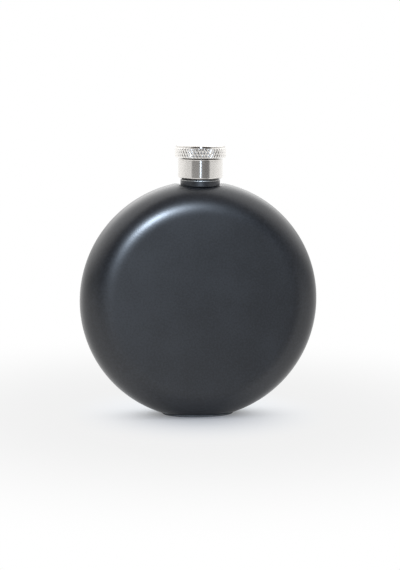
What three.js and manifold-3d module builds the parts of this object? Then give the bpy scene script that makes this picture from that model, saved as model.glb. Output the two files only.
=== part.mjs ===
// A round hip flask: two pressed steel dishes welded rim to rim, a flat oval foot, a threaded neck
// and a screw cap with a diamond-knurled head. Millimetres, +Z up, front face towards -Y.
// The origin is the middle of the foot's underside, on the surface that the flask stands on.

import * as THREE from 'three';
import { mergeVertices } from 'three/addons/utils/BufferGeometryUtils.js';
import Module from 'manifold-3d';

const wasm = await Module();
wasm.setup();

// Body: a disc with two flat faces and a rim that is a little squarer than a half circle.
const BODY_RADIUS = 50;
const BODY_DEPTH = 26;
const FACE_RADIUS = 36.4;
const RIM_SQUARENESS = 2.3;
const SHEET = 0.7;

// Foot: the plate covers the flat where the rim is cut off, and stands proud of it all round.
const FOOT_DEPTH = 16.4;
const FOOT_THICKNESS = 0.7;
const FOOT_LEDGE = 0.2;

// Neck: its shoulder stands on a flat seat, and a spigot passes down through the sheet. A relief
// groove parts the thread from the seat.
const THREAD_RADIUS = 8.23;
const NECK_HEIGHT = 9.37;
const NECK_BORE_RADIUS = 6.5;
const NECK_EDGE = 0.4;
const RELIEF_DEPTH = 0.4;
const RELIEF_HEIGHT = 0.5;
const SPIGOT_WALL = 0.9;
const SPIGOT_TAIL = 0.8;
const SPIGOT_GAP = 0.1;
const SEAT_MARGIN = 0.8;
const SEAT_FLARE = THREE.MathUtils.degToRad(40);

// Cap: a soft seal on the neck's lip, a threaded liner round it, a sleeve over the liner.
const SEAL_THICKNESS = 1;
const SEAL_GAP = 0.1;
const THREAD_CLEARANCE = 0.2;
const LINER_WALL = 0.4;
const LINER_WEB = 0.8;
const LINER_RECESS = 0.4;
const LINER_FIT = 0.1;
const SKIRT_WALL = 0.44;
const SKIRT_LENGTH = 7.9;
const SKIRT_CHAMFER = 0.25;

// Knob on the cap: a narrow waist, a band of diamond knurling and a rounded plain edge.
const WAIST_INSET = 1.85;
const WAIST_HEIGHT = 0.6;
const HEAD_OVERHANG = 1.19;
const KNURL_STARTS = 48;
const KNURL_ROWS = 3;
const KNURL_HEIGHT = 3.96;
const KNURL_DEPTH = 0.32;
const CROWN_HEIGHT = 1.04;
const CROWN_ROUND = 0.7;

// How finely round forms are divided.
const BODY_SEGMENTS = 72;
const RIM_STEPS = 8;
const ROUND_SEGMENTS = 48;
const CROWN_STEPS = 3;

// The rim's outline is a quarter superellipse. `inset` moves it in by a wall's thickness.
const HALF_DEPTH = BODY_DEPTH / 2;
const RIM_WIDTH = BODY_RADIUS - FACE_RADIUS;

function rimRadiusAt(y) {
  const across = Math.abs(y) / HALF_DEPTH;
  return FACE_RADIUS + RIM_WIDTH * (1 - across ** RIM_SQUARENESS) ** (1 / RIM_SQUARENESS);
}

function rimProfile(inset) {
  const points = [];
  for (let step = 0; step <= RIM_STEPS; step++) {
    const angle = (Math.PI / 2) * (step / RIM_STEPS);
    const out = Math.sin(angle) ** (2 / RIM_SQUARENESS);
    const back = Math.cos(angle) ** (2 / RIM_SQUARENESS);
    const radius = FACE_RADIUS + (RIM_WIDTH - inset) * out;
    points.push(new THREE.Vector2(radius, -(HALF_DEPTH - inset) * back));
  }
  points[RIM_STEPS].y = 0;
  return points;
}

// Heights. The rim is flattened just as far as the foot and the neck need to stand on a flat.
const FOOT_FLAT = rimRadiusAt(FOOT_DEPTH / 2);
const BODY_CENTRE = FOOT_THICKNESS + FOOT_FLAT;
const SEAT_HEIGHT = BODY_CENTRE + rimRadiusAt(THREAD_RADIUS);
const SPIGOT_RADIUS = NECK_BORE_RADIUS + SPIGOT_WALL;
const LIP_HEIGHT = SEAT_HEIGHT + NECK_HEIGHT;
const SEAL_TOP = LIP_HEIGHT + SEAL_THICKNESS;
const LINER_TOP = SEAL_TOP + LINER_WEB;
const SKIRT_TOP = LINER_TOP + SKIRT_WALL;
const SKIRT_BOTTOM = SKIRT_TOP - SKIRT_LENGTH;

// Radii of the cap, from the thread outwards.
const LINER_BORE = THREAD_RADIUS + THREAD_CLEARANCE;
const LINER_RADIUS = LINER_BORE + LINER_WALL;
const SKIRT_BORE = LINER_RADIUS + LINER_FIT;
const SKIRT_RADIUS = SKIRT_BORE + SKIRT_WALL;
const HEAD_RADIUS = SKIRT_RADIUS + HEAD_OVERHANG;

// Welds a geometry's shared corners and drops the slivers that a pole leaves on the axis.
function weld(geometry) {
  const bare = new THREE.BufferGeometry();
  bare.setAttribute('position', geometry.getAttribute('position').clone());
  bare.setIndex(geometry.getIndex());
  const merged = mergeVertices(bare);
  const index = merged.getIndex().array;
  const kept = [];
  for (let at = 0; at < index.length; at += 3) {
    const [a, b, c] = [index[at], index[at + 1], index[at + 2]];
    if (a !== b && b !== c && c !== a) kept.push(a, b, c);
  }
  merged.setIndex(kept);
  return merged;
}

function toSolid(geometry) {
  const welded = weld(geometry);
  return new wasm.Manifold(new wasm.Mesh({
    numProp: 3,
    vertProperties: new Float32Array(welded.getAttribute('position').array),
    triVerts: new Uint32Array(welded.getIndex().array),
  }));
}

function fromSolid(solid) {
  const mesh = solid.getMesh();
  const geometry = new THREE.BufferGeometry();
  geometry.setAttribute('position', new THREE.BufferAttribute(mesh.vertProperties, 3));
  geometry.setIndex(new THREE.BufferAttribute(mesh.triVerts, 1));
  return geometry;
}

// Turns a profile of [radius, height] corners about the flask's upright axis.
function turned(corners, segments = ROUND_SEGMENTS) {
  const points = corners.map(([radius, height]) => new THREE.Vector2(radius, height));
  return new THREE.LatheGeometry(points, segments).rotateX(Math.PI / 2);
}

// The front half of the disc, flat at the middle plane, or run past it by `beyond`.
function halfDisc(inset, beyond) {
  const rim = rimProfile(inset);
  const face = new THREE.Vector2(0, rim[0].y);
  const middle = [new THREE.Vector2(rim[RIM_STEPS].x, beyond), new THREE.Vector2(0, beyond)];
  const profile = beyond > 0 ? [face, ...rim, ...middle] : [face, ...rim, middle[1]];
  return new THREE.LatheGeometry(profile, BODY_SEGMENTS).translate(0, 0, BODY_CENTRE);
}

// What the press takes off the rim for the neck: a round flat with a flared edge.
function seatCutter(depth) {
  const floor = SEAT_HEIGHT - depth;
  const radius = THREAD_RADIUS + SEAT_MARGIN + depth * Math.tan(SEAT_FLARE / 2);
  const rise = BODY_CENTRE + BODY_RADIUS + SHEET - floor;
  const flared = radius + rise / Math.tan(SEAT_FLARE);
  return turned([[0, floor], [radius, floor], [flared, floor + rise], [0, floor + rise]]);
}

function shellGeometry() {
  const across = 2 * BODY_RADIUS + BODY_DEPTH;
  const floorCut = new THREE.BoxGeometry(across, across, across)
    .translate(0, 0, FOOT_THICKNESS - across / 2);
  const hole = turned([
    [0, SEAT_HEIGHT - HALF_DEPTH], [SPIGOT_RADIUS + SPIGOT_GAP, SEAT_HEIGHT - HALF_DEPTH],
    [SPIGOT_RADIUS + SPIGOT_GAP, SEAT_HEIGHT + HALF_DEPTH], [0, SEAT_HEIGHT + HALF_DEPTH],
  ]);
  const hollow = toSolid(halfDisc(SHEET, SHEET)).subtract(toSolid(seatCutter(SHEET)));
  const pressed = toSolid(halfDisc(0, 0)).subtract(toSolid(seatCutter(0))).subtract(hollow);
  return fromSolid(pressed.subtract(toSolid(floorCut)).subtract(toSolid(hole)));
}

// The foot's outline is the section of the rim where it is cut off, grown by the ledge.
function footGeometry() {
  const half = FOOT_DEPTH / 2;
  const outline = [];
  for (let step = 0; step < ROUND_SEGMENTS; step++) {
    const angle = (2 * Math.PI * step) / ROUND_SEGMENTS;
    const y = half * Math.sin(angle);
    const reach = Math.sqrt(Math.max(rimRadiusAt(y) ** 2 - FOOT_FLAT ** 2, 0));
    const side = Math.sign(Math.round(Math.cos(angle) * 1e6));
    const ledge = new THREE.Vector2(Math.cos(angle), Math.sin(angle)).multiplyScalar(FOOT_LEDGE);
    outline.push(new THREE.Vector2(side * reach, y).add(ledge));
  }
  const shape = new THREE.Shape(outline);
  return new THREE.ExtrudeGeometry(shape, { depth: FOOT_THICKNESS, bevelEnabled: false });
}

function neckGeometry() {
  const tail = SEAT_HEIGHT - SHEET - SPIGOT_TAIL;
  const start = [NECK_BORE_RADIUS, tail];
  const relief = THREAD_RADIUS - RELIEF_DEPTH;
  const threadStart = SEAT_HEIGHT + RELIEF_HEIGHT;
  return turned([
    start, [SPIGOT_RADIUS, tail], [SPIGOT_RADIUS, SEAT_HEIGHT], [relief, SEAT_HEIGHT],
    [relief, threadStart], [THREAD_RADIUS, threadStart],
    [THREAD_RADIUS, LIP_HEIGHT - NECK_EDGE], [THREAD_RADIUS - NECK_EDGE, LIP_HEIGHT],
    [NECK_BORE_RADIUS + NECK_EDGE / 2, LIP_HEIGHT],
    [NECK_BORE_RADIUS, LIP_HEIGHT - NECK_EDGE / 2], start,
  ]);
}

function sealGeometry() {
  const radius = LINER_BORE - SEAL_GAP;
  return turned([[0, LIP_HEIGHT], [radius, LIP_HEIGHT], [radius, SEAL_TOP], [0, SEAL_TOP]]);
}

function linerGeometry() {
  const bottom = SKIRT_BOTTOM + LINER_RECESS;
  return turned([
    [0, SEAL_TOP], [LINER_BORE, SEAL_TOP], [LINER_BORE, bottom],
    [LINER_RADIUS, bottom], [LINER_RADIUS, LINER_TOP], [0, LINER_TOP],
  ]);
}

function skirtGeometry() {
  return turned([
    [0, LINER_TOP], [SKIRT_BORE, LINER_TOP], [SKIRT_BORE, SKIRT_BOTTOM],
    [SKIRT_RADIUS, SKIRT_BOTTOM], [SKIRT_RADIUS, SKIRT_TOP - SKIRT_CHAMFER],
    [SKIRT_RADIUS - SKIRT_CHAMFER, SKIRT_TOP], [0, SKIRT_TOP],
  ]);
}

// Two sets of crossing helical grooves leave a chequer of sharp peaks and groove crossings:
// every second corner of the knurled rows is pressed in, and the faces fold along the grooves.
function headGeometry() {
  const waist = SKIRT_RADIUS - WAIST_INSET;
  const knurlBottom = SKIRT_TOP + WAIST_HEIGHT;
  const knurlTop = knurlBottom + KNURL_HEIGHT;
  const top = knurlTop + CROWN_HEIGHT;
  const plain = HEAD_RADIUS - KNURL_DEPTH / 2;
  const foot = [[0, SKIRT_TOP], [waist, SKIRT_TOP], [waist, knurlBottom]];
  const corners = [...foot];
  for (let row = 0; row <= KNURL_ROWS; row++) {
    corners.push([HEAD_RADIUS, knurlBottom + (KNURL_HEIGHT * row) / KNURL_ROWS]);
  }
  for (let step = 0; step <= CROWN_STEPS; step++) {
    const angle = (Math.PI / 2) * (step / CROWN_STEPS);
    const radius = plain - CROWN_ROUND * (1 - Math.cos(angle));
    corners.push([radius, top - CROWN_ROUND * (1 - Math.sin(angle))]);
  }
  corners.push([0, top]);

  const columns = 2 * KNURL_STARTS;
  const geometry = turned(corners, columns);
  const position = geometry.getAttribute('position');
  const index = geometry.getIndex();
  const pressedIn = (HEAD_RADIUS - KNURL_DEPTH) / HEAD_RADIUS;
  for (let column = 0; column <= columns; column++) {
    for (let row = 0; row <= KNURL_ROWS; row++) {
      if ((column + row) % 2 === 1) continue;
      const at = column * corners.length + foot.length + row;
      position.setXY(at, position.getX(at) * pressedIn, position.getY(at) * pressedIn);
    }
  }
  for (let column = 0; column < columns; column++) {
    for (let row = 0; row < KNURL_ROWS; row++) {
      if ((column + row) % 2 === 1) continue;
      const a = column * corners.length + foot.length + row;
      const b = a + corners.length;
      const face = 6 * (column * (corners.length - 1) + foot.length + row);
      [a, b, b + 1, a, b + 1, a + 1].forEach((corner, k) => index.setX(face + k, corner));
    }
  }
  return geometry;
}

const coat = { color: 0x2b2d31, roughness: 0.42, metalness: 0 };
const steel = { color: 0xd9d6cf, roughness: 0.12, metalness: 1 };
const liner = { color: 0xe6e2d8, roughness: 0.5, metalness: 0 };
const silicone = { color: 0xcfcac0, roughness: 0.7, metalness: 0 };

const group = new THREE.Group();

function addPiece(name, geometry, finish) {
  const piece = new THREE.Mesh(weld(geometry), new THREE.MeshStandardMaterial(finish));
  piece.name = name;
  piece.geometry.computeVertexNormals();
  group.add(piece);
  return piece;
}

addPiece('front_shell', shellGeometry(), coat);
addPiece('rear_shell', shellGeometry(), coat).rotation.z = Math.PI;
addPiece('foot_plate', footGeometry(), coat);
addPiece('neck', neckGeometry(), coat);
addPiece('cap_seal', sealGeometry(), silicone);
addPiece('cap_liner', linerGeometry(), liner);
addPiece('cap_skirt', skirtGeometry(), steel);
addPiece('cap_head', headGeometry(), steel);

export default group;
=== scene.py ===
# %% [markdown]
# # A round hip flask
# The flask is two pressed steel dishes welded rim to rim and coated satin black, with an oval
# foot, a threaded neck and a bright screw cap. The packed CAD model already holds the sizes and
# the joints, so this lesson dresses it: each step rebuilds one CAD node as a finer mesh in the
# same place and gives it a finish made of shader nodes.

# %% Load the frame
import math

import bmesh
import bpy
from mathutils import Matrix, Vector


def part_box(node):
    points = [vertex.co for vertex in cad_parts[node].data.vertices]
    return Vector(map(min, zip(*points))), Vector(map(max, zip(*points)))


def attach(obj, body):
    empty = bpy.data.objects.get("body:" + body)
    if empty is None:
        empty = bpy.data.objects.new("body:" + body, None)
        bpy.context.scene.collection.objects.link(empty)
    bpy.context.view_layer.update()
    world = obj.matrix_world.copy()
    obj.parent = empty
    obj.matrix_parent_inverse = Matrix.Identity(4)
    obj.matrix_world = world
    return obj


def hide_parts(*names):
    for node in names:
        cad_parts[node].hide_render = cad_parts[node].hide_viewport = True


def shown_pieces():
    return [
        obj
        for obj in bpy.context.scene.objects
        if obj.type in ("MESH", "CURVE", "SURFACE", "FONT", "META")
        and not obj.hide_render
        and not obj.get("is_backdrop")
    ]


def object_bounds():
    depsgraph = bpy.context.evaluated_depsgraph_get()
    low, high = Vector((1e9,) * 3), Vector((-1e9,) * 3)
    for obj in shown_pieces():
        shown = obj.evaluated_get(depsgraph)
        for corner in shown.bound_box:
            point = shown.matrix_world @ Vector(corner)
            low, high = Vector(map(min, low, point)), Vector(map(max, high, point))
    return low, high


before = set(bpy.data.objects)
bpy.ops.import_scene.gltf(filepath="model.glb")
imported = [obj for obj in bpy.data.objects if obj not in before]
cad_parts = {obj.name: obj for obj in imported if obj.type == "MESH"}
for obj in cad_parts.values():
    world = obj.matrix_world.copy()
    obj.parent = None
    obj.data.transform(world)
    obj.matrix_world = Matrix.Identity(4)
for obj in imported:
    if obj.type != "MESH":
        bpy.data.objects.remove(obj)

cad_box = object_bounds()
print("CAD box in metres:", [[round(value, 5) for value in corner] for corner in cad_box])

# %% [markdown]
# A flask is easiest to model in millimetres, where its sizes are handy numbers, so every mesh is
# shaped in millimetres and scaled to Blender's metres once, when it becomes an object. Heights
# and radii could be typed in again, but reading them from the CAD nodes' boxes keeps both models
# alike.

# %% Sizes read from the CAD nodes
MM = 0.001


def node_span(node):
    """Lowest and highest corner of a CAD node, in millimetres."""
    low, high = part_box(node)
    return low / MM, high / MM


shell_low, shell_high = node_span("front_shell")
neck_low, neck_high = node_span("neck")
seal_low, seal_high = node_span("cap_seal")
liner_low, liner_high = node_span("cap_liner")
skirt_low, skirt_high = node_span("cap_skirt")
head_low, head_high = node_span("cap_head")
BODY_RADIUS, HALF_DEPTH, FOOT_TOP = shell_high.x, -shell_low.y, shell_low.z
THREAD_RADIUS, LIP_HEIGHT = neck_high.x, neck_high.z
print(f"body {2 * BODY_RADIUS:.1f} wide, {2 * HALF_DEPTH:.1f} deep; lip at {LIP_HEIGHT:.2f} mm")

# %% [markdown]
# The rim of the body is not a plain half circle: it is a little squarer, as a deep-drawn dish is.
# A superellipse draws such a rim with one extra number. The same curve says where the rim is as
# wide as the foot and the neck, and that gives the height of the body's centre and of the seat.

# %% The rim's curve
FACE_RADIUS = 36.4
RIM_SQUARENESS = 2.3
FOOT_DEPTH = 16.4
SEAT_DEPTH = 7.75


def rim_radius_at(depth):
    """The body's radius at a distance in front of or behind its middle plane."""
    share = min(abs(depth) / HALF_DEPTH, 1)
    bulge = (1 - share ** RIM_SQUARENESS) ** (1 / RIM_SQUARENESS)
    return FACE_RADIUS + (BODY_RADIUS - FACE_RADIUS) * bulge


BODY_CENTRE = FOOT_TOP + rim_radius_at(FOOT_DEPTH / 2)
SEAT_HEIGHT = BODY_CENTRE + rim_radius_at(SEAT_DEPTH)
print(f"body centre at {BODY_CENTRE:.2f}, neck seat at {SEAT_HEIGHT:.2f} mm")

# %% [markdown]
# Shader nodes can be wired by hand, but sums then take many lines. Here one small class stands
# for an output socket: adding or multiplying two of them adds the Math node, and its `node`
# method adds every other kind. Settings come first, because they decide which sockets a node has.

# %% A class for shader sums
class Wire:
    """An output socket of a node tree that can be used in sums."""

    def __init__(self, tree, socket=None):
        self.tree, self.socket = tree, socket

    def node(self, kind, settings=None, inputs=None, out=0):
        made = self.tree.nodes.new("ShaderNode" + kind)
        for key, value in (settings or {}).items():
            setattr(made, key, value)
        for key, value in (inputs or {}).items():
            if isinstance(value, Wire):
                self.tree.links.new(value.socket, made.inputs[key])
            else:
                made.inputs[key].default_value = value
        return Wire(self.tree, made.outputs[out]) if len(made.outputs) else made

    def math(self, operation, first, second=0.0):
        return self.node("Math", {"operation": operation}, {0: first, 1: second})

    def __add__(self, other):
        return self.math("ADD", self, other)

    def __sub__(self, other):
        return self.math("SUBTRACT", self, other)

    def __rsub__(self, other):
        return self.math("SUBTRACT", other, self)

    def __mul__(self, other):
        return self.math("MULTIPLY", self, other)

    def __truediv__(self, other):
        return self.math("DIVIDE", self, other)

    def __pow__(self, other):
        return self.math("POWER", self, other)

    def ramp(self, start, end, low=0.0, high=1.0):
        """Goes smoothly from low to high while this value goes from start to end."""
        places = {0: self, 1: start, 2: end, 3: low, 4: high}
        return self.node("MapRange", {"interpolation_type": "SMOOTHSTEP"}, places)

    def mix(self, first, second):
        """A colour between two colours, with this value as the share of the second."""
        return self.node("Mix", {"data_type": "RGBA"}, {0: self, 6: first, 7: second}, out=2)


print("wires know:", [name for name in vars(Wire) if not name.startswith("__d")])

# %% [markdown]
# Every finish starts in the same way: an empty node tree, one Principled shader and the piece's
# own Object coordinates, which are in metres and stay put when the piece moves. Numbers that are
# the same all over a piece are set on the shader itself.

# %% Starting a finish
NOISE_RANGE = 0.3, 0.7


def finish(name, **constants):
    """A new material, its Principled shader and a wire of Object coordinates in millimetres."""
    material = bpy.data.materials.new(name)
    material.use_nodes = True
    tree = material.node_tree
    tree.nodes.clear()
    start = Wire(tree)
    shader = start.node("BsdfPrincipled")
    start.node("OutputMaterial", None, {"Surface": shader})
    shader = shader.socket.node
    for key, value in constants.items():
        shader.inputs[key.replace("_", " ")].default_value = value
    place = start.node("TexCoord", None, None, "Object")
    place = start.node("VectorMath", {"operation": "SCALE"}, {0: place, "Scale": 1 / MM})
    return material, shader, place


def connect(wire, shader, socket):
    wire.tree.links.new(wire.socket, shader.inputs[socket])


def grain(place, scale, detail):
    """Noise with so many cycles to a millimetre; most of it lies within NOISE_RANGE."""
    return place.node("TexNoise", None, {"Vector": place, "Scale": scale, "Detail": detail})


def bumps(height, depth):
    """A surface normal from a height field whose full swing is so many millimetres."""
    return height.node("Bump", None, {"Strength": 1.0, "Distance": depth * MM, "Height": height})


# %% [markdown]
# The body's coat is a satin black powder coat. Up close it has the fine grain of melted powder
# and a slightly uneven gloss; from a distance only its soft, wide highlights tell. Two noises
# make it. Both speckle the colour, the fine one gives the bumps and the wide one lets the gloss
# vary.

# %% Satin black coat
COAT_DARK, COAT_LIGHT = (0.006, 0.0063, 0.0073, 1), (0.0117, 0.0124, 0.0144, 1)
COAT_BUMPS = 0.012
COAT_IOR = 1.5

coat, shader, place = finish("satin_black_coat", IOR=COAT_IOR)
cloud = grain(place, 0.06, 3)
powder = grain(place, 1.3, 2)
speckle = (cloud * 0.3 + powder * 0.7).ramp(0.35, 0.65)
connect(speckle.mix(COAT_DARK, COAT_LIGHT), shader, "Base Color")
connect(cloud.ramp(*NOISE_RANGE, 0.315, 0.34), shader, "Roughness")
connect(bumps(powder, COAT_BUMPS), shader, "Normal")
print("coat:", len(coat.node_tree.nodes), "nodes")

# %% [markdown]
# The edge of the foot is where the flask is set down again and again. There the coat is rubbed
# dull, so it gets a finish of its own: rougher and with a coarse uneven wear. It is also paler,
# partly from that wear and partly as a painted highlight for the thin light line along the edge.

# %% Worn coat with a painted highlight
WORN_SHEEN_DARK, WORN_SHEEN_LIGHT = (0.034, 0.034, 0.034, 1), (0.056, 0.056, 0.057, 1)

worn_sheen_coat, shader, place = finish("worn_sheen_black_coat", IOR=COAT_IOR)
wear_and_sheen = grain(place, 0.8, 3).ramp(*NOISE_RANGE)
# Paler than the coat: partly rubbed wear, partly a painted highlight along the foot's edge.
connect(wear_and_sheen.mix(WORN_SHEEN_DARK, WORN_SHEEN_LIGHT), shader, "Base Color")
connect(wear_and_sheen.ramp(0, 1, 0.5, 0.62), shader, "Roughness")
print("worn coat:", len(worn_sheen_coat.node_tree.nodes), "nodes")

# %% [markdown]
# Inside, the flask is bare drawn steel. It shows down the neck and in a fine line at the neck's
# collar, where the cap has rubbed the coat off. So it stays simple: a grey metal whose gloss
# varies with the flow of the sheet.

# %% Bare steel
SHEET_DARK, SHEET_LIGHT = (0.42, 0.41, 0.39, 1), (0.5, 0.49, 0.47, 1)

bare_steel, shader, place = finish("bare_sheet_steel", Metallic=1.0)
flow = grain(place, 0.4, 3)
connect(flow.ramp(*NOISE_RANGE).mix(SHEET_DARK, SHEET_LIGHT), shader, "Base Color")
connect(flow.ramp(*NOISE_RANGE, 0.48, 0.6), shader, "Roughness")
print("bare steel:", len(bare_steel.node_tree.nodes), "nodes")

# %% [markdown]
# The cap's sleeve and crown are turned on a lathe and polished, so light spreads far up and down
# across the fine turning marks and hardly sideways along them. An anisotropic shader does that:
# without a tangent of its own a mesh gets one that runs round its upright axis, and a quarter
# turn stretches the gloss across it. Fine rings of noise, stretched round the axis, show the
# marks close up.

# %% Turned steel
STEEL, SMEARED_STEEL = (0.74, 0.72, 0.69, 1), (0.71, 0.69, 0.66, 1)
STRETCH_ROUND = (0.01, 0.01, 1)
MARK_DEPTH = 0.0006

turned_steel, shader, place = finish(
    "turned_steel", Metallic=1.0, Anisotropic=1.0, Anisotropic_Rotation=0.25)
flat = place.node("VectorMath", {"operation": "MULTIPLY"}, {0: place, 1: STRETCH_ROUND})
marks = grain(flat, 6, 2)
smear = grain(place, 0.25, 3)
connect(smear.ramp(*NOISE_RANGE).mix(STEEL, SMEARED_STEEL), shader, "Base Color")
connect(marks.ramp(0.25, 0.75, 0.19, 0.23), shader, "Roughness")
connect(bumps(marks, MARK_DEPTH), shader, "Normal")
print("turned steel:", len(turned_steel.node_tree.nodes), "nodes")

# %% [markdown]
# The knurl is rolled into the same steel, so it has no turning marks, but it is given a lighter
# colour than the sleeve: painted light that brightens the knurl. The bottoms of the grooves are a
# little darker and rougher than the tops, and the waist under the knob gets a dark colour: painted
# shade under the knob's overhang. The mesh stores how high each point stands in an attribute,
# which the finish reads to tell them apart.

# %% Knurled steel
# The dark colour of the waist and the knob's underside: painted shade.
WAIST_SHADE = (0.2, 0.19, 0.18, 1)
# Lighter than the sleeve's steel: painted light on the knurl.
LIT_GROOVE_STEEL, LIT_TOP_STEEL = (0.8, 0.78, 0.75, 1), (0.84, 0.82, 0.79, 1)

knurled_steel, shader, place = finish("knurled_steel", Metallic=1.0)
height = place.node("Attribute", {"attribute_name": "height"}, None, "Fac")
scuff = grain(place, 1.2, 3)
toward_tops = (height + scuff * 0.2 - 0.1).ramp(0.4, 0.7)
lit_lattice = toward_tops.mix(LIT_GROOVE_STEEL, LIT_TOP_STEEL)
# Dark at the waist and the knob's underside, where the knob shades it: painted shade.
connect(height.ramp(0.1, 0.5).mix(WAIST_SHADE, lit_lattice), shader, "Base Color")
connect(toward_tops.ramp(0, 1, 0.33, 0.25), shader, "Roughness")
print("knurled steel:", len(knurled_steel.node_tree.nodes), "nodes")

# %% [markdown]
# The soft parts of the cap are hidden while it is shut: a pale moulded liner with the thread, and
# a silicone disc that the lip presses on. Each gets the fine texture of its mould and a faint
# mottle.

# %% Liner plastic and silicone
def moulded(name, light, dark, gloss, texture):
    material, shader, place = finish(name, IOR=1.46)
    mottle = grain(place, 0.5, 3)
    connect(mottle.ramp(*NOISE_RANGE).mix(light, dark), shader, "Base Color")
    connect(mottle.ramp(*NOISE_RANGE, gloss, gloss + 0.08), shader, "Roughness")
    connect(bumps(grain(place, 5, 2), texture), shader, "Normal")
    return material


liner_plastic = moulded("liner_plastic", (0.76, 0.73, 0.66, 1), (0.7, 0.67, 0.6, 1), 0.42, 0.002)
silicone = moulded("seal_silicone", (0.6, 0.57, 0.52, 1), (0.55, 0.52, 0.47, 1), 0.58, 0.003)
print("moulded finishes:", liner_plastic.name, silicone.name)

# %% [markdown]
# Most pieces are turned parts, so one helper draws a profile as a chain of vertices and spins it
# once round. `use_merge` closes the spin on itself, points on the axis are merged into one pole,
# and then the normals are made to point out. A second helper rounds the sharp edges: on real
# metal no edge is perfectly sharp, and the small round catches the light.

# %% Spinning and rounding
POLE = 1e-4
NEAR = 0.01
ROUND_STEPS = 8
EDGE_SEGMENTS = 3


def spun(profile, steps):
    """A mesh from (radius, height) corners spun round the upright axis."""
    bm = bmesh.new()
    corners = [bm.verts.new((radius, 0, height)) for radius, height in profile]
    chain = [bm.edges.new(pair) for pair in zip(corners, corners[1:])]
    bmesh.ops.spin(bm, geom=corners + chain, cent=(0, 0, 0), axis=(0, 0, 1), angle=math.tau,
                   steps=steps, use_merge=True)
    bmesh.ops.remove_doubles(bm, verts=bm.verts, dist=POLE)
    bmesh.ops.recalc_face_normals(bm, faces=bm.faces)
    return bm


def set_radius(vert, radius):
    """Moves a point straight in or out to a radius."""
    vert.co.xy *= radius / vert.co.xy.length


def quarter_round(radius, top, size):
    """(radius, height) along a rounded upper edge, from its side to its top."""
    for step in range(ROUND_STEPS + 1):
        angle = math.pi / 2 * step / ROUND_STEPS
        yield radius - size * (1 - math.cos(angle)), top - size * (1 - math.sin(angle))


def round_edges(bm, width, sharper):
    """Rounds the edges that fold by more than so many degrees."""
    limit = math.radians(sharper)
    folds = [edge for edge in bm.edges if edge.is_manifold and edge.calc_face_angle() > limit]
    bmesh.ops.bevel(bm, geom=folds, offset=width, affect="EDGES", segments=EDGE_SEGMENTS,
                    profile=0.5, material=-1, clamp_overlap=True)


# %% [markdown]
# When a mesh is ready it becomes an object: scaled to metres, shaded smooth except at sharp
# folds, given its finishes, and tied to the frame. It rides on the body of the node that it
# replaces.

# %% Making a piece
def add_piece(name, bm, body, node, slot, *finishes, sharp=35):
    bmesh.ops.scale(bm, vec=(MM, MM, MM), verts=bm.verts)
    mesh = bpy.data.meshes.new(name)
    bm.to_mesh(mesh)
    bm.free()
    mesh.polygons.foreach_set("use_smooth", [True] * len(mesh.polygons))
    mesh.set_sharp_from_angle(angle=math.radians(sharp))
    for material in finishes:
        mesh.materials.append(material)
    piece = bpy.data.objects.new(name, mesh)
    bpy.context.collection.objects.link(piece)
    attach(piece, body)
    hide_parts(node)
    print(f"{name}: {len(mesh.vertices)} vertices, {len(mesh.polygons)} faces")


# %% [markdown]
# A dish is the body's front or rear half. Its profile runs from the middle of the flat face over
# the rim to the seam. Spinning that round the face's axis makes the dish; the columns are close
# together near the top, where the neck's seat needs them, and wider elsewhere. Two spins, the
# second starting where the first ended, give both.

# %% The dish's profile and spin
RIM_STEPS = 56
RIM_CROWDING = 1.5
FACE_RINGS = 0, 0.4, 0.7, 0.9
NECK_COLUMNS, OTHER_COLUMNS = 150, 210
NECK_SECTOR = math.radians(20)
SPIN_ERROR = 0.005


def rim_points(steps):
    """(radius, depth) along the rim from the face's edge to the seam."""
    power = 2 / RIM_SQUARENESS
    for step in range(steps + 1):
        angle = math.pi / 2 * (1 - (1 - step / steps) ** RIM_CROWDING)
        out, back = math.sin(angle) ** power, max(math.cos(angle), 0) ** power
        yield FACE_RADIUS + (BODY_RADIUS - FACE_RADIUS) * out, -HALF_DEPTH * back


def spin_dish():
    bm = bmesh.new()
    profile = [(FACE_RADIUS * share, -HALF_DEPTH) for share in FACE_RINGS]
    profile += list(rim_points(RIM_STEPS))
    profile[-1] = (BODY_RADIUS, 0)
    sideways, up = -math.sin(NECK_SECTOR), math.cos(NECK_SECTOR)
    chain = [bm.verts.new((radius * sideways, depth, BODY_CENTRE + radius * up))
             for radius, depth in profile]
    chain += [bm.edges.new(pair) for pair in zip(chain, chain[1:])]
    sector = 2 * NECK_SECTOR
    for angle, steps in ((sector, NECK_COLUMNS), (math.tau - sector, OTHER_COLUMNS)):
        swept = bmesh.ops.spin(bm, geom=chain, cent=(0, 0, BODY_CENTRE), axis=(0, 1, 0),
                               angle=angle, steps=steps)
        chain = swept["geom_last"]
    bmesh.ops.remove_doubles(bm, verts=bm.verts, dist=SPIN_ERROR)
    bmesh.ops.recalc_face_normals(bm, faces=bm.faces)
    if sum(face.normal.y * face.calc_area() for face in bm.faces) > 0:
        bmesh.ops.reverse_faces(bm, faces=bm.faces)
    return bm


# %% [markdown]
# The press that closes the dishes also flattens the rim into a seat for the neck, with a soft
# flared edge. Cutting would leave a hard corner, so the points near the neck are pushed down
# instead: a smooth minimum blends the rim into the seat, as sheet metal flows.

# %% Pressing the neck's seat
SEAT_MARGIN = 0.8
SEAT_RADIUS = THREAD_RADIUS + SEAT_MARGIN
SEAT_SLOPE = math.tan(math.radians(40))
SEAT_BLEND = 0.7
HOLE_RADIUS = 7.1


def smooth_min(first, second, blend):
    overlap = max(blend - abs(first - second), 0) / blend
    return min(first, second) - overlap * overlap * blend / 4


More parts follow.
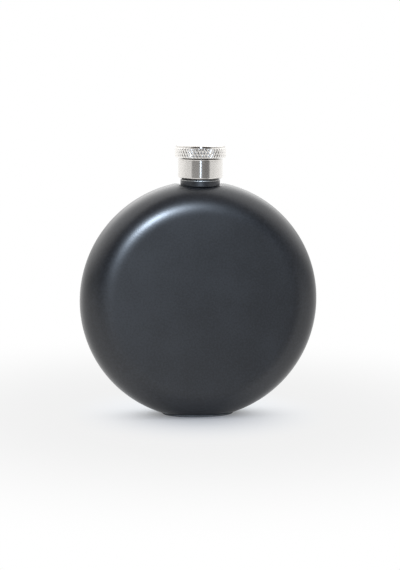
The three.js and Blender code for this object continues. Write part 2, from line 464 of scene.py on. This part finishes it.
def press_seat(bm):
    for vert in bm.verts:
        beyond = math.hypot(vert.co.x, vert.co.y) - SEAT_RADIUS
        if vert.co.z > BODY_CENTRE and beyond < SEAT_RADIUS:
            flare = SEAT_SLOPE * (beyond + math.hypot(beyond, SEAT_BLEND)) / 2
            seat = SEAT_HEIGHT + flare - SEAT_SLOPE * SEAT_BLEND / 8
            vert.co.z = smooth_min(vert.co.z, seat, SEAT_BLEND)
    for vert in bm.verts:
        vert.tag = vert.co.z > BODY_CENTRE and vert.co.xy.length < HOLE_RADIUS
    inside = [vert for vert in bm.verts if vert.tag]
    for vert in bm.verts:
        beside = any(other.tag for face in vert.link_faces for other in face.verts)
        if beside and not vert.tag:
            set_radius(vert, HOLE_RADIUS)
    bmesh.ops.delete(bm, geom=inside, context="VERTS")


# %% [markdown]
# So far the dish is a skin. Solidify gives it the thickness of the sheet, inwards, and the new
# inner faces take the bare steel. Then one plane cuts the bottom off where the foot goes and the
# cut is closed. The rear dish is the front one turned half round.

# %% The two dishes
SHEET = 0.7
SEAM_REACH = 0.05


def make_dish(turn):
    bm = spin_dish()
    press_seat(bm)
    bmesh.ops.solidify(bm, geom=bm.faces[:], thickness=SHEET)
    for vert in bm.verts:
        if abs(vert.co.y) < SEAM_REACH:
            vert.co.y = 0
    everything = bm.verts[:] + bm.edges[:] + bm.faces[:]
    cut = bmesh.ops.bisect_plane(bm, geom=everything, plane_co=(0, 0, FOOT_TOP),
                                 plane_no=(0, 0, -1), clear_outer=True)["geom_cut"]
    rim = [edge for edge in cut if isinstance(edge, bmesh.types.BMEdge)]
    bmesh.ops.edgeloop_fill(bm, edges=rim)
    centre = Vector((0, 0, BODY_CENTRE))
    for face in bm.faces:
        away = face.calc_center_median() - centre
        face.material_index = 1 if face.normal.dot(away) < 0 else 0
    bmesh.ops.rotate(bm, cent=(0, 0, 0), matrix=Matrix.Rotation(turn, 3, "Z"), verts=bm.verts)
    print("open edges left on the dish:", sum(not edge.is_manifold for edge in bm.edges))
    return bm


add_piece("front_dish", make_dish(0), "flask", "front_shell", "black_coat", coat, bare_steel)
add_piece("rear_dish", make_dish(math.pi), "flask", "rear_shell", "black_coat", coat, bare_steel)

# %% [markdown]
# The foot is a thin oval plate under the cut. Its outline is the rim's own section, a hair
# larger. A plate of even width would end in two blunt corners, but a pressed one turns in towards
# the floor. So the edge is built from rings of several sizes, the smallest on the floor, joined by
# faces.

# %% Oval foot
FOOT_LEDGE = 0.2
FOOT_POINTS = 120
FOOT_EDGE = [(0.93, 0), (0.965, 0.1), (0.99, 0.3), (1, 0.5), (1, 0.62), (0.99, 0.7)]


def foot_ring(bm, scale, height):
    """Points on the foot's outline, scaled in length and by a third as much in depth."""
    flat = BODY_CENTRE - FOOT_TOP
    for step in range(FOOT_POINTS):
        angle = math.tau * step / FOOT_POINTS
        y = FOOT_DEPTH / 2 * math.sin(angle)
        reach = math.sqrt(max(rim_radius_at(y) ** 2 - flat ** 2, 0))
        x = math.copysign(reach, math.cos(angle)) + FOOT_LEDGE * math.cos(angle)
        y += FOOT_LEDGE * math.sin(angle)
        yield bm.verts.new((x * scale, y * (2 + scale) / 3, height))


def make_foot():
    bm = bmesh.new()
    rings = [list(foot_ring(bm, scale, height)) for scale, height in FOOT_EDGE]
    for row, (lower, upper) in enumerate(zip(rings, rings[1:])):
        for at in range(FOOT_POINTS):
            side = bm.faces.new((lower[at - 1], lower[at], upper[at], upper[at - 1]))
            # Rows above the floor ring take the worn coat, whose paler colour is partly a painted
            # highlight.
            side.material_index = row > 0
    bm.faces.new(rings[0])
    bm.faces.new(rings[-1])
    bmesh.ops.recalc_face_normals(bm, faces=bm.faces)
    return bm


add_piece("oval_foot", make_foot(), "flask", "foot_plate", "black_coat", coat, worn_sheen_coat)

# %% [markdown]
# The neck carries a real screw thread. A helical sweep of a ridge would cross the tube's wall, so
# the tube is spun with many short steps in height and its points are moved out and in along a
# wave that climbs one pitch in a turn. The wave fades out at both ends, as a rolled thread does.
# Below it a plain collar stands on the seat over a thin slot, and its upper edge has lost its
# coat.

# %% Threaded neck
THREAD_PITCH = 1.75
THREAD_DEPTH = 0.4
THREAD_STEP = 0.125
THREAD_FADE = 0.5
CREST_FULLNESS = 0.6
NECK_BORE = 6.5
SPIGOT_RADIUS = 7
NECK_EDGE, BORE_EDGE = 0.4, 0.2
NECK_COLUMNS_ROUND = 128
RELIEF_DEPTH, RELIEF_HEIGHT = 0.8, 0.08
COLLAR_HEIGHT, COLLAR_ROUND = 2.58, 0.06
COLLAR_FOOT = [(0.2, 0), (0.06, 0.06), (0, 0.2), (0, 0.3)]
RUBBED_HEIGHT = 0.24
CREST_INSET = 0.1
COLLAR_TOP = SEAT_HEIGHT + COLLAR_HEIGHT
COAT_END = COLLAR_TOP - RUBBED_HEIGHT
CREST_RADIUS = THREAD_RADIUS - CREST_INSET
THREAD_END = LIP_HEIGHT - NECK_EDGE
THREAD_FROM, THREAD_TO = COLLAR_TOP + 0.3, THREAD_END - 0.1


def thread_wave(x, y, z):
    """From 0 at the root to 1 at the crest of a right-hand thread."""
    turn = math.atan2(y, x) / math.tau
    phase = (z / THREAD_PITCH - turn) % 1
    return math.sin(math.pi * phase) ** CREST_FULLNESS


def fade(value, low, high, length):
    """0 outside low and high, rising to 1 between them over a length."""
    inside = min(value - low, high - value) / length
    return min(max(inside, 0), 1)


def make_neck():
    rows = int((THREAD_END - COLLAR_TOP) / THREAD_STEP)
    wall = [(CREST_RADIUS, COLLAR_TOP + (THREAD_END - COLLAR_TOP) * row / rows)
            for row in range(rows + 1)]
    relief, collar = THREAD_RADIUS - RELIEF_DEPTH, SEAT_HEIGHT + RELIEF_HEIGHT
    bottom = (NECK_BORE, neck_low.z)
    bm = spun([bottom, (SPIGOT_RADIUS, neck_low.z), (SPIGOT_RADIUS, SEAT_HEIGHT),
               (relief, SEAT_HEIGHT), (relief, collar),
               *((THREAD_RADIUS - inset, collar + rise) for inset, rise in COLLAR_FOOT),
               (THREAD_RADIUS, COAT_END), (THREAD_RADIUS, COLLAR_TOP - COLLAR_ROUND),
               (THREAD_RADIUS - COLLAR_ROUND, COLLAR_TOP), *wall,
               (CREST_RADIUS - NECK_EDGE, LIP_HEIGHT), (NECK_BORE + BORE_EDGE, LIP_HEIGHT),
               (NECK_BORE, LIP_HEIGHT - BORE_EDGE), bottom], NECK_COLUMNS_ROUND)
    for vert in bm.verts:
        x, y, z = vert.co
        radius = math.hypot(x, y)
        if z > COLLAR_TOP - NEAR and abs(radius - CREST_RADIUS) < NEAR:
            cut = 1 - thread_wave(x, y, z) * fade(z, THREAD_FROM, THREAD_TO, THREAD_FADE)
            set_radius(vert, radius - THREAD_DEPTH * cut)
    for face in bm.faces:
        middle = face.calc_center_median()
        rubbed = middle.xy.length > CREST_RADIUS and middle.z > COAT_END
        face.material_index = rubbed or middle.xy.length < NECK_BORE + BORE_EDGE / 2
    return bm


add_piece("threaded_neck", make_neck(), "flask", "neck", "black_coat", coat, bare_steel, sharp=50)

# %% [markdown]
# The seal is a silicone disc under the cap's top. The neck's lip meets it at a shallow ring.

# %% Seal disc
SEAL_DENT, DENT_SLOPE = 0.06, 0.3
SEAL_ROUND = 0.12
CAP_COLUMNS = 96


def make_seal():
    low, high, edge = seal_low.z, seal_high.z, seal_high.x
    dent = low + SEAL_DENT
    bm = spun([(0, dent), (NECK_BORE - DENT_SLOPE, dent), (NECK_BORE, low), (edge, low),
               (edge, high), (0, high)], CAP_COLUMNS)
    round_edges(bm, SEAL_ROUND, sharper=60)
    return bm


add_piece("seal_disc", make_seal(), "seal", "cap_seal", "silicone", silicone)

# %% [markdown]
# The liner is the moulded nut inside the cap. Its bore gets a thread of the same pitch, cut
# outwards into the wall. The bore keeps the clearance of the CAD model, so the two threads never
# touch.

# %% Liner
LINER_CLEARANCE = 0.2
LINER_BORE = THREAD_RADIUS + LINER_CLEARANCE
LINER_THREAD = 0.25


def make_liner():
    bottom, top, outside = liner_low.z, liner_high.z, liner_high.x
    rows = int((seal_high.z - bottom) / THREAD_STEP)
    bore = [(LINER_BORE, seal_high.z + (bottom - seal_high.z) * row / rows)
            for row in range(rows + 1)]
    bm = spun([(0, seal_high.z), *bore, (outside, bottom), (outside, top), (0, top)],
              CAP_COLUMNS)
    for vert in bm.verts:
        x, y, z = vert.co
        radius = math.hypot(x, y)
        if abs(radius - LINER_BORE) < NEAR:
            room = thread_wave(x, y, z) * fade(z, bottom + 0.2, seal_low.z - 0.3, THREAD_FADE)
            set_radius(vert, radius + LINER_THREAD * room)
    return bm


add_piece("cap_lining", make_liner(), "cap", "cap_liner", "liner_plastic", liner_plastic, sharp=50)

# %% [markdown]
# The sleeve is the plain bright cup that covers the liner. Its lower edge is turned to a short
# taper and a fine groove runs just below its top. Every corner is rounded a little, so that it
# shows as a bright line.

# %% Cap sleeve
SLEEVE_CLEARANCE = 0.1
SLEEVE_BORE = liner_high.x + SLEEVE_CLEARANCE
TAPER_INSET, TAPER_HEIGHT = 0.16, 0.35
SLEEVE_GROOVE = [(0, 0.64), (0, 0.5), (0.18, 0.48), (0, 0.06), (0.06, 0)]
SLEEVE_ROUND = 0.03
SLEEVE_COLUMNS = 160


def make_sleeve():
    bottom, top, outside = skirt_low.z, skirt_high.z, skirt_high.x
    bm = spun([(0, liner_high.z), (SLEEVE_BORE, liner_high.z), (SLEEVE_BORE, bottom),
               (outside - TAPER_INSET, bottom), (outside, bottom + TAPER_HEIGHT),
               (outside, bottom + 0.5),
               *((outside - inset, top - drop) for inset, drop in SLEEVE_GROOVE), (0, top)],
              SLEEVE_COLUMNS)
    round_edges(bm, SLEEVE_ROUND, sharper=30)
    return bm


add_piece("cap_sleeve", make_sleeve(), "cap", "cap_skirt", "polished_steel", turned_steel)

# %% [markdown]
# The knob's diamond knurl comes from two sets of helical grooves that cross. Sweeping 96 grooves
# through a cylinder would be slow, and there is a shorter way: spin a coarse grid, press every
# second corner in and pull the others out, and split each face along the line between its two low
# corners. That line is a groove, and each high corner becomes a four-sided point. A fine
# subdivision follows, then the points are turned off flat, because a knurl is rolled into a
# finished cylinder. The flat tops show the dark room and the grooves' sides the bright walls,
# which draws the lattice.

# %% Knurled knob
KNURL_STARTS = 48
KNURL_SIXTHS = 0, 1, 3, 5, 6
KNURL_DEPTH = 0.17
PEAK_SHARE = 2
KNURL_CHAMFER = 0.35
KNURL_CUTS = 5
KNURL_SMOOTHING = 0.15
LOW_MARGIN = 0.003
WAIST_HEIGHT, WAIST_INSET = 0.6, 1.85
CROWN_HEIGHT, CROWN_SIDE = 1.04, 0.62
CROWN_STEP = 0.16
CROWN_TAPER = 0.18
CROWN_ROUND = 0.12
KNURL_BOTTOM = skirt_high.z + WAIST_HEIGHT
KNURL_TOP = head_high.z - CROWN_HEIGHT
WAIST_RADIUS = skirt_high.x - WAIST_INSET
OUTSIDE_WAIST = WAIST_RADIUS + 0.1


def knob_profile():
    rows = [(head_high.x, KNURL_BOTTOM + (KNURL_TOP - KNURL_BOTTOM) * sixth / 6)
            for sixth in KNURL_SIXTHS]
    plain = head_high.x - CROWN_STEP
    narrow = plain - CROWN_TAPER
    crown = [(plain - 0.1, KNURL_TOP + 0.05), (plain, head_high.z - CROWN_SIDE),
             *quarter_round(narrow, head_high.z, CROWN_ROUND),
             (narrow - CROWN_ROUND - 0.1, head_high.z)]
    return [(0, head_low.z), (WAIST_RADIUS, head_low.z), (WAIST_RADIUS, KNURL_BOTTOM), *rows,
            *crown, (0, head_high.z)]


def press_knurl(bm):
    """Presses in every second corner of the knurled rows and splits the faces along the grooves."""
    bottom = head_high.x - KNURL_DEPTH
    half_way = bottom + KNURL_DEPTH * PEAK_SHARE / 2
    ends = set()
    for vert in bm.verts:
        if vert.co.xy.length > head_high.x - NEAR:
            column = round(math.atan2(vert.co.y, vert.co.x) / math.tau * 2 * KNURL_STARTS)
            sixth = round((vert.co.z - KNURL_BOTTOM) / (KNURL_TOP - KNURL_BOTTOM) * 6)
            if sixth in (0, 6):
                ends.add(vert)
                set_radius(vert, half_way)
            elif (column + sixth // 2) % 2 == 0:
                set_radius(vert, bottom)
            else:
                set_radius(vert, bottom + KNURL_DEPTH * PEAK_SHARE)
    ring = [edge for edge in bm.edges if all(vert in ends for vert in edge.verts)]
    bmesh.ops.subdivide_edges(bm, edges=ring, cuts=1)
    low_corners = [vert for vert in bm.verts if KNURL_BOTTOM - NEAR < vert.co.z < KNURL_TOP + NEAR
                   and OUTSIDE_WAIST < vert.co.xy.length < half_way - LOW_MARGIN]
    for vert in low_corners:
        set_radius(vert, bottom)
    bmesh.ops.connect_verts(bm, verts=low_corners)


def make_knob():
    bm = spun(knob_profile(), 2 * KNURL_STARTS)
    press_knurl(bm)
    middle = (KNURL_BOTTOM + KNURL_TOP) / 2
    reach = (KNURL_TOP - KNURL_BOTTOM) / 2 + NEAR
    knurl = [edge for edge in bm.edges
             if all(abs(vert.co.z - middle) < reach for vert in edge.verts)
             and all(vert.co.xy.length > OUTSIDE_WAIST for vert in edge.verts)]
    bmesh.ops.subdivide_edges(bm, edges=knurl, cuts=KNURL_CUTS, use_grid_fill=True)
    inner = []
    for vert in bm.verts:
        height, radius = abs(vert.co.z - middle), vert.co.xy.length
        if height < reach and radius > OUTSIDE_WAIST:
            chamfer = CROWN_STEP * max(1 - (reach - height) / KNURL_CHAMFER, 0)
            set_radius(vert, min(radius, head_high.x - chamfer))
            if height < reach - 2 * NEAR:
                inner.append(vert)
    bmesh.ops.smooth_vert(bm, verts=inner, factor=KNURL_SMOOTHING, use_axis_x=True,
                          use_axis_y=True)
    stands = bm.verts.layers.float.new("height")
    for vert in bm.verts:
        depth = head_high.x - vert.co.xy.length
        # Height 0 marks the waist, which the knurled finish darkens as painted shade.
        if vert.co.z < KNURL_BOTTOM + NEAR and depth > 2 * KNURL_DEPTH:
            vert[stands] = 0
        elif abs(vert.co.z - middle) < reach:
            vert[stands] = 1 - min(depth / KNURL_DEPTH, 1) / 2
        else:
            vert[stands] = 1
    for face in bm.faces:
        face.material_index = all(vert.co.z > KNURL_TOP - NEAR for vert in face.verts)
    return bm


add_piece("knurled_knob", make_knob(), "cap", "cap_head", "polished_steel", knurled_steel,
          turned_steel, sharp=40)

# %% [markdown]
# The camera stands where the photographer stood: a little to the left, above the cap, about
# seventy centimetres away with a long lens. The numbers come from matching the outline of the
# body, the foot and the cap. The focal length is in pixels of a 400 by 570 picture, so it is
# turned into millimetres.

# %% Camera
IMAGE_HEIGHT = 570
FOCAL_PIXELS = 1721.7
AZIMUTH, PITCH = math.radians(-9.386), math.radians(-7.788)
YAW, ROLL = math.radians(-0.032), math.radians(0.645)
DISTANCE, HEIGHT = 714.9, 152.5

lens = bpy.data.cameras.new("camera")
lens.sensor_width = 36
lens.lens = FOCAL_PIXELS * lens.sensor_width / IMAGE_HEIGHT
camera = bpy.data.objects.new("camera", lens)
bpy.context.collection.objects.link(camera)
stand = Matrix.Rotation(AZIMUTH, 4, "Z") @ Matrix.Translation((0, -DISTANCE * MM, HEIGHT * MM))
aim = Matrix.Rotation(YAW, 4, "Z") @ Matrix.Rotation(math.pi / 2 + PITCH, 4, "X")
aim = aim @ Matrix.Rotation(ROLL, 4, "Z")
camera.matrix_world = stand @ aim
bpy.context.scene.camera = camera
print("camera at", [round(value, 3) for value in camera.matrix_world.translation])

# %% [markdown]
# The flask stands in a white tent with a bright roof. The tent is open towards the camera, and
# that darker opening is what gives the steel its dark bands and lets the coat look black. A world
# made of nodes can do this: pale walls, a brighter roof and a dim window about the camera's
# direction. The camera itself always sees white.

# %% World
OPENING_MIDDLE, OPENING_HALF, EDGE = -7.5, 46.5, 5
FRONT_ROOF = 75, 89
KEY_AZIMUTH, KEY_ELEVATION = 173, 45
INDIRECT = 0.62
WALL_DIM, WALL_BRIGHT, KEY_GLOW = 0.48, 2.16, 1.26
LOW_WALLS = 0.45
ROOM_LOW, ROOM_HIGH = (0.02, 0.02, 0.02, 1), (0.14, 0.1, 0.07, 1)
ROOM_FILL = (0.46, 0.5, 0.62, 1)
WHITE = (1, 1, 1, 1)


def sine(degrees):
    return math.sin(math.radians(degrees))


def bearing(azimuth, elevation):
    """A unit vector; azimuth counts from the front to the right, both are in degrees."""
    level = sine(90 - elevation)
    return Vector((sine(azimuth) * level, -sine(90 - azimuth) * level, sine(elevation)))


def along(vector, aim):
    """How far a wire's vector reaches in a direction."""
    return vector.node("VectorMath", {"operation": "DOT_PRODUCT"}, {0: vector, 1: aim}, "Value")


def in_opening(vector, level):
    """1 where a vector, whose level part has this length, points out of the tent's opening."""
    ahead = along(vector, bearing(OPENING_MIDDLE, 0)) / level
    return ahead.ramp(sine(90 - OPENING_HALF - EDGE), sine(90 - OPENING_HALF + EDGE))


world = bpy.data.worlds.new("white_tent")
world.use_nodes = True
world.node_tree.nodes.clear()
start = Wire(world.node_tree)
rays = start.node("LightPath").socket.node.outputs
gloss = Wire(world.node_tree, rays["Is Glossy Ray"])
direction = start.node("TexCoord", None, None, "Generated")
height = along(direction, (0, 0, 1))
opening = in_opening(direction, (1.000001 - height * height) ** 0.5)
opening = opening * height.ramp(sine(FRONT_ROOF[0]), sine(FRONT_ROOF[1]), 1, 0)
key = along(direction, bearing(KEY_AZIMUTH, KEY_ELEVATION))
walls = key.ramp(-0.3, 0.6, WALL_DIM, WALL_BRIGHT) + key.ramp(0.7, 1.0, 0, KEY_GLOW)
walls = walls * height.ramp(0.05, 0.4, LOW_WALLS, 1)
dark_room = height.ramp(0.2, 0.6).mix(ROOM_LOW, ROOM_HIGH)
room = gloss.mix(ROOM_FILL, dark_room)
tent = opening.mix(walls, room)
lit = start.node("Background", None, {"Color": tent, "Strength": gloss.ramp(0, 1, INDIRECT, 1)})
white = start.node("Background", None, {"Color": WHITE, "Strength": 1.0})
seen = Wire(world.node_tree, rays["Is Camera Ray"])
shown = start.node("MixShader", None, {0: seen, 1: lit, 2: white})
start.node("OutputWorld", None, {"Surface": shown})
bpy.context.scene.world = world
print("world:", len(world.node_tree.nodes), "nodes")

# %% [markdown]
# One small bluish flash above the camera gives the coat its curved highlight at the upper left
# and the cap its thin white line. A disk keeps the highlight's ends round. It would also throw a
# hard shadow on the floor and be far too strong for steel, so light linking splits it: one lamp
# for the dull pieces and a weak one each for the sleeve and the knob, all in the same place.

# %% Lamps
LAMP_AZIMUTH, LAMP_ELEVATION = -7.4, 19.4
LAMP_DISTANCE, LAMP_SIZE = 740, 70
LAMP_COLOUR = (0.70, 0.83, 1.0)
FLASH, SLEEVE_FLASH, KNOB_FLASH = 6.6, 0.7, 0.8


def add_lamp(name, energy, pieces):
    """A lamp that lights these pieces and nothing else."""
    light = bpy.data.lights.new(name, "AREA")
    light.shape = "DISK"
    light.size = LAMP_SIZE * MM
    light.energy = energy
    light.color = LAMP_COLOUR
    lamp = bpy.data.objects.new(name, light)
    bpy.context.collection.objects.link(lamp)
    beam = bearing(LAMP_AZIMUTH, LAMP_ELEVATION)
    lamp.location = Vector((0, 0, BODY_CENTRE * MM)) + beam * LAMP_DISTANCE * MM
    lamp.rotation_mode = "QUATERNION"
    lamp.rotation_quaternion = beam.to_track_quat("Z", "Y")
    lamp.light_linking.receiver_collection = bpy.data.collections.new(name + "_lights")
    for piece in pieces:
        lamp.light_linking.receiver_collection.objects.link(piece)
    print(f"{name}: {energy} W for {len(pieces)} pieces")


steel = {piece.name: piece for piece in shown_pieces() if piece.name in ("cap_sleeve", "knurled_knob")}
add_lamp("flash", FLASH, [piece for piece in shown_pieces() if piece.name not in steel])
add_lamp("sleeve_flash", SLEEVE_FLASH, [steel["cap_sleeve"]])
add_lamp("knob_flash", KNOB_FLASH, [steel["knurled_knob"]])

# %% [markdown]
# The floor is a plain pale sheet. Near the flask it is an ordinary matt surface, so that it keeps
# the soft shadow; further out it fades into the white background. The matt surface is tinted
# blue, which gives that shadow a painted cool tint.

# %% Floor
FLOOR_HALF = 4000
# Tinted blue so that the shadow near the foot comes out bluish: a painted cool shade.
BLUE_SHADE_PAPER = (0.88, 0.93, 0.99, 1)
SHADOW_REACH = -0.005, 0.06
NEAR_GLOW = 0.88
MIRRORED_FRONT, MIRRORED_BACK = 0.34, 1.18

bm = bmesh.new()
bmesh.ops.create_grid(bm, x_segments=2, y_segments=2, size=FLOOR_HALF * MM)
floor_mesh = bpy.data.meshes.new("floor")
bm.to_mesh(floor_mesh)
bm.free()
floor = bpy.data.objects.new("floor", floor_mesh)
bpy.context.collection.objects.link(floor)
floor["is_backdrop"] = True

paper = bpy.data.materials.new("white_paper")
paper.use_nodes = True
paper.node_tree.nodes.clear()
start = Wire(paper.node_tree)
place = start.node("TexCoord", None, None, "Object")
reach = start.node("VectorMath", {"operation": "LENGTH"}, {0: place}, "Value")
front = in_opening(place, reach + 1e-6)
left = along(place, (-1, 0, 0)).ramp(-0.1, 0.06, 0.4, 1.05)
far = reach.ramp(0.2, 0.6)
mirrored = front * (left * (1 - far) + far * MIRRORED_FRONT) + (1 - front) * MIRRORED_BACK
rays = start.node("LightPath").socket.node.outputs
seen = Wire(paper.node_tree, rays["Is Camera Ray"])
strength = seen * reach.ramp(0.05, 0.2, NEAR_GLOW, 1) + (1 - seen) * mirrored
matt = start.node("BsdfDiffuse", None, {"Color": BLUE_SHADE_PAPER})
glow = start.node("Emission", None, {"Color": WHITE, "Strength": strength})
sheet = start.node("MixShader", None, {0: reach.ramp(*SHADOW_REACH), 1: matt, 2: glow})
start.node("OutputMaterial", None, {"Surface": sheet})
floor_mesh.materials.append(paper)
print("floor:", 2 * FLOOR_HALF * MM, "m square")

# %% [markdown]
# Last, the plain display transform, and a note of both boxes so that the dressed model can be
# compared with the CAD model.

# %% Finish
bpy.context.scene.view_settings.view_transform = "Standard"
boxes = {"cad": cad_box, "visual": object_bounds()}
{key: [list(corner) for corner in box] for key, box in boxes.items()}
for key, box in boxes.items():
    print(key, "box in metres:", [[round(value, 5) for value in corner] for corner in box])
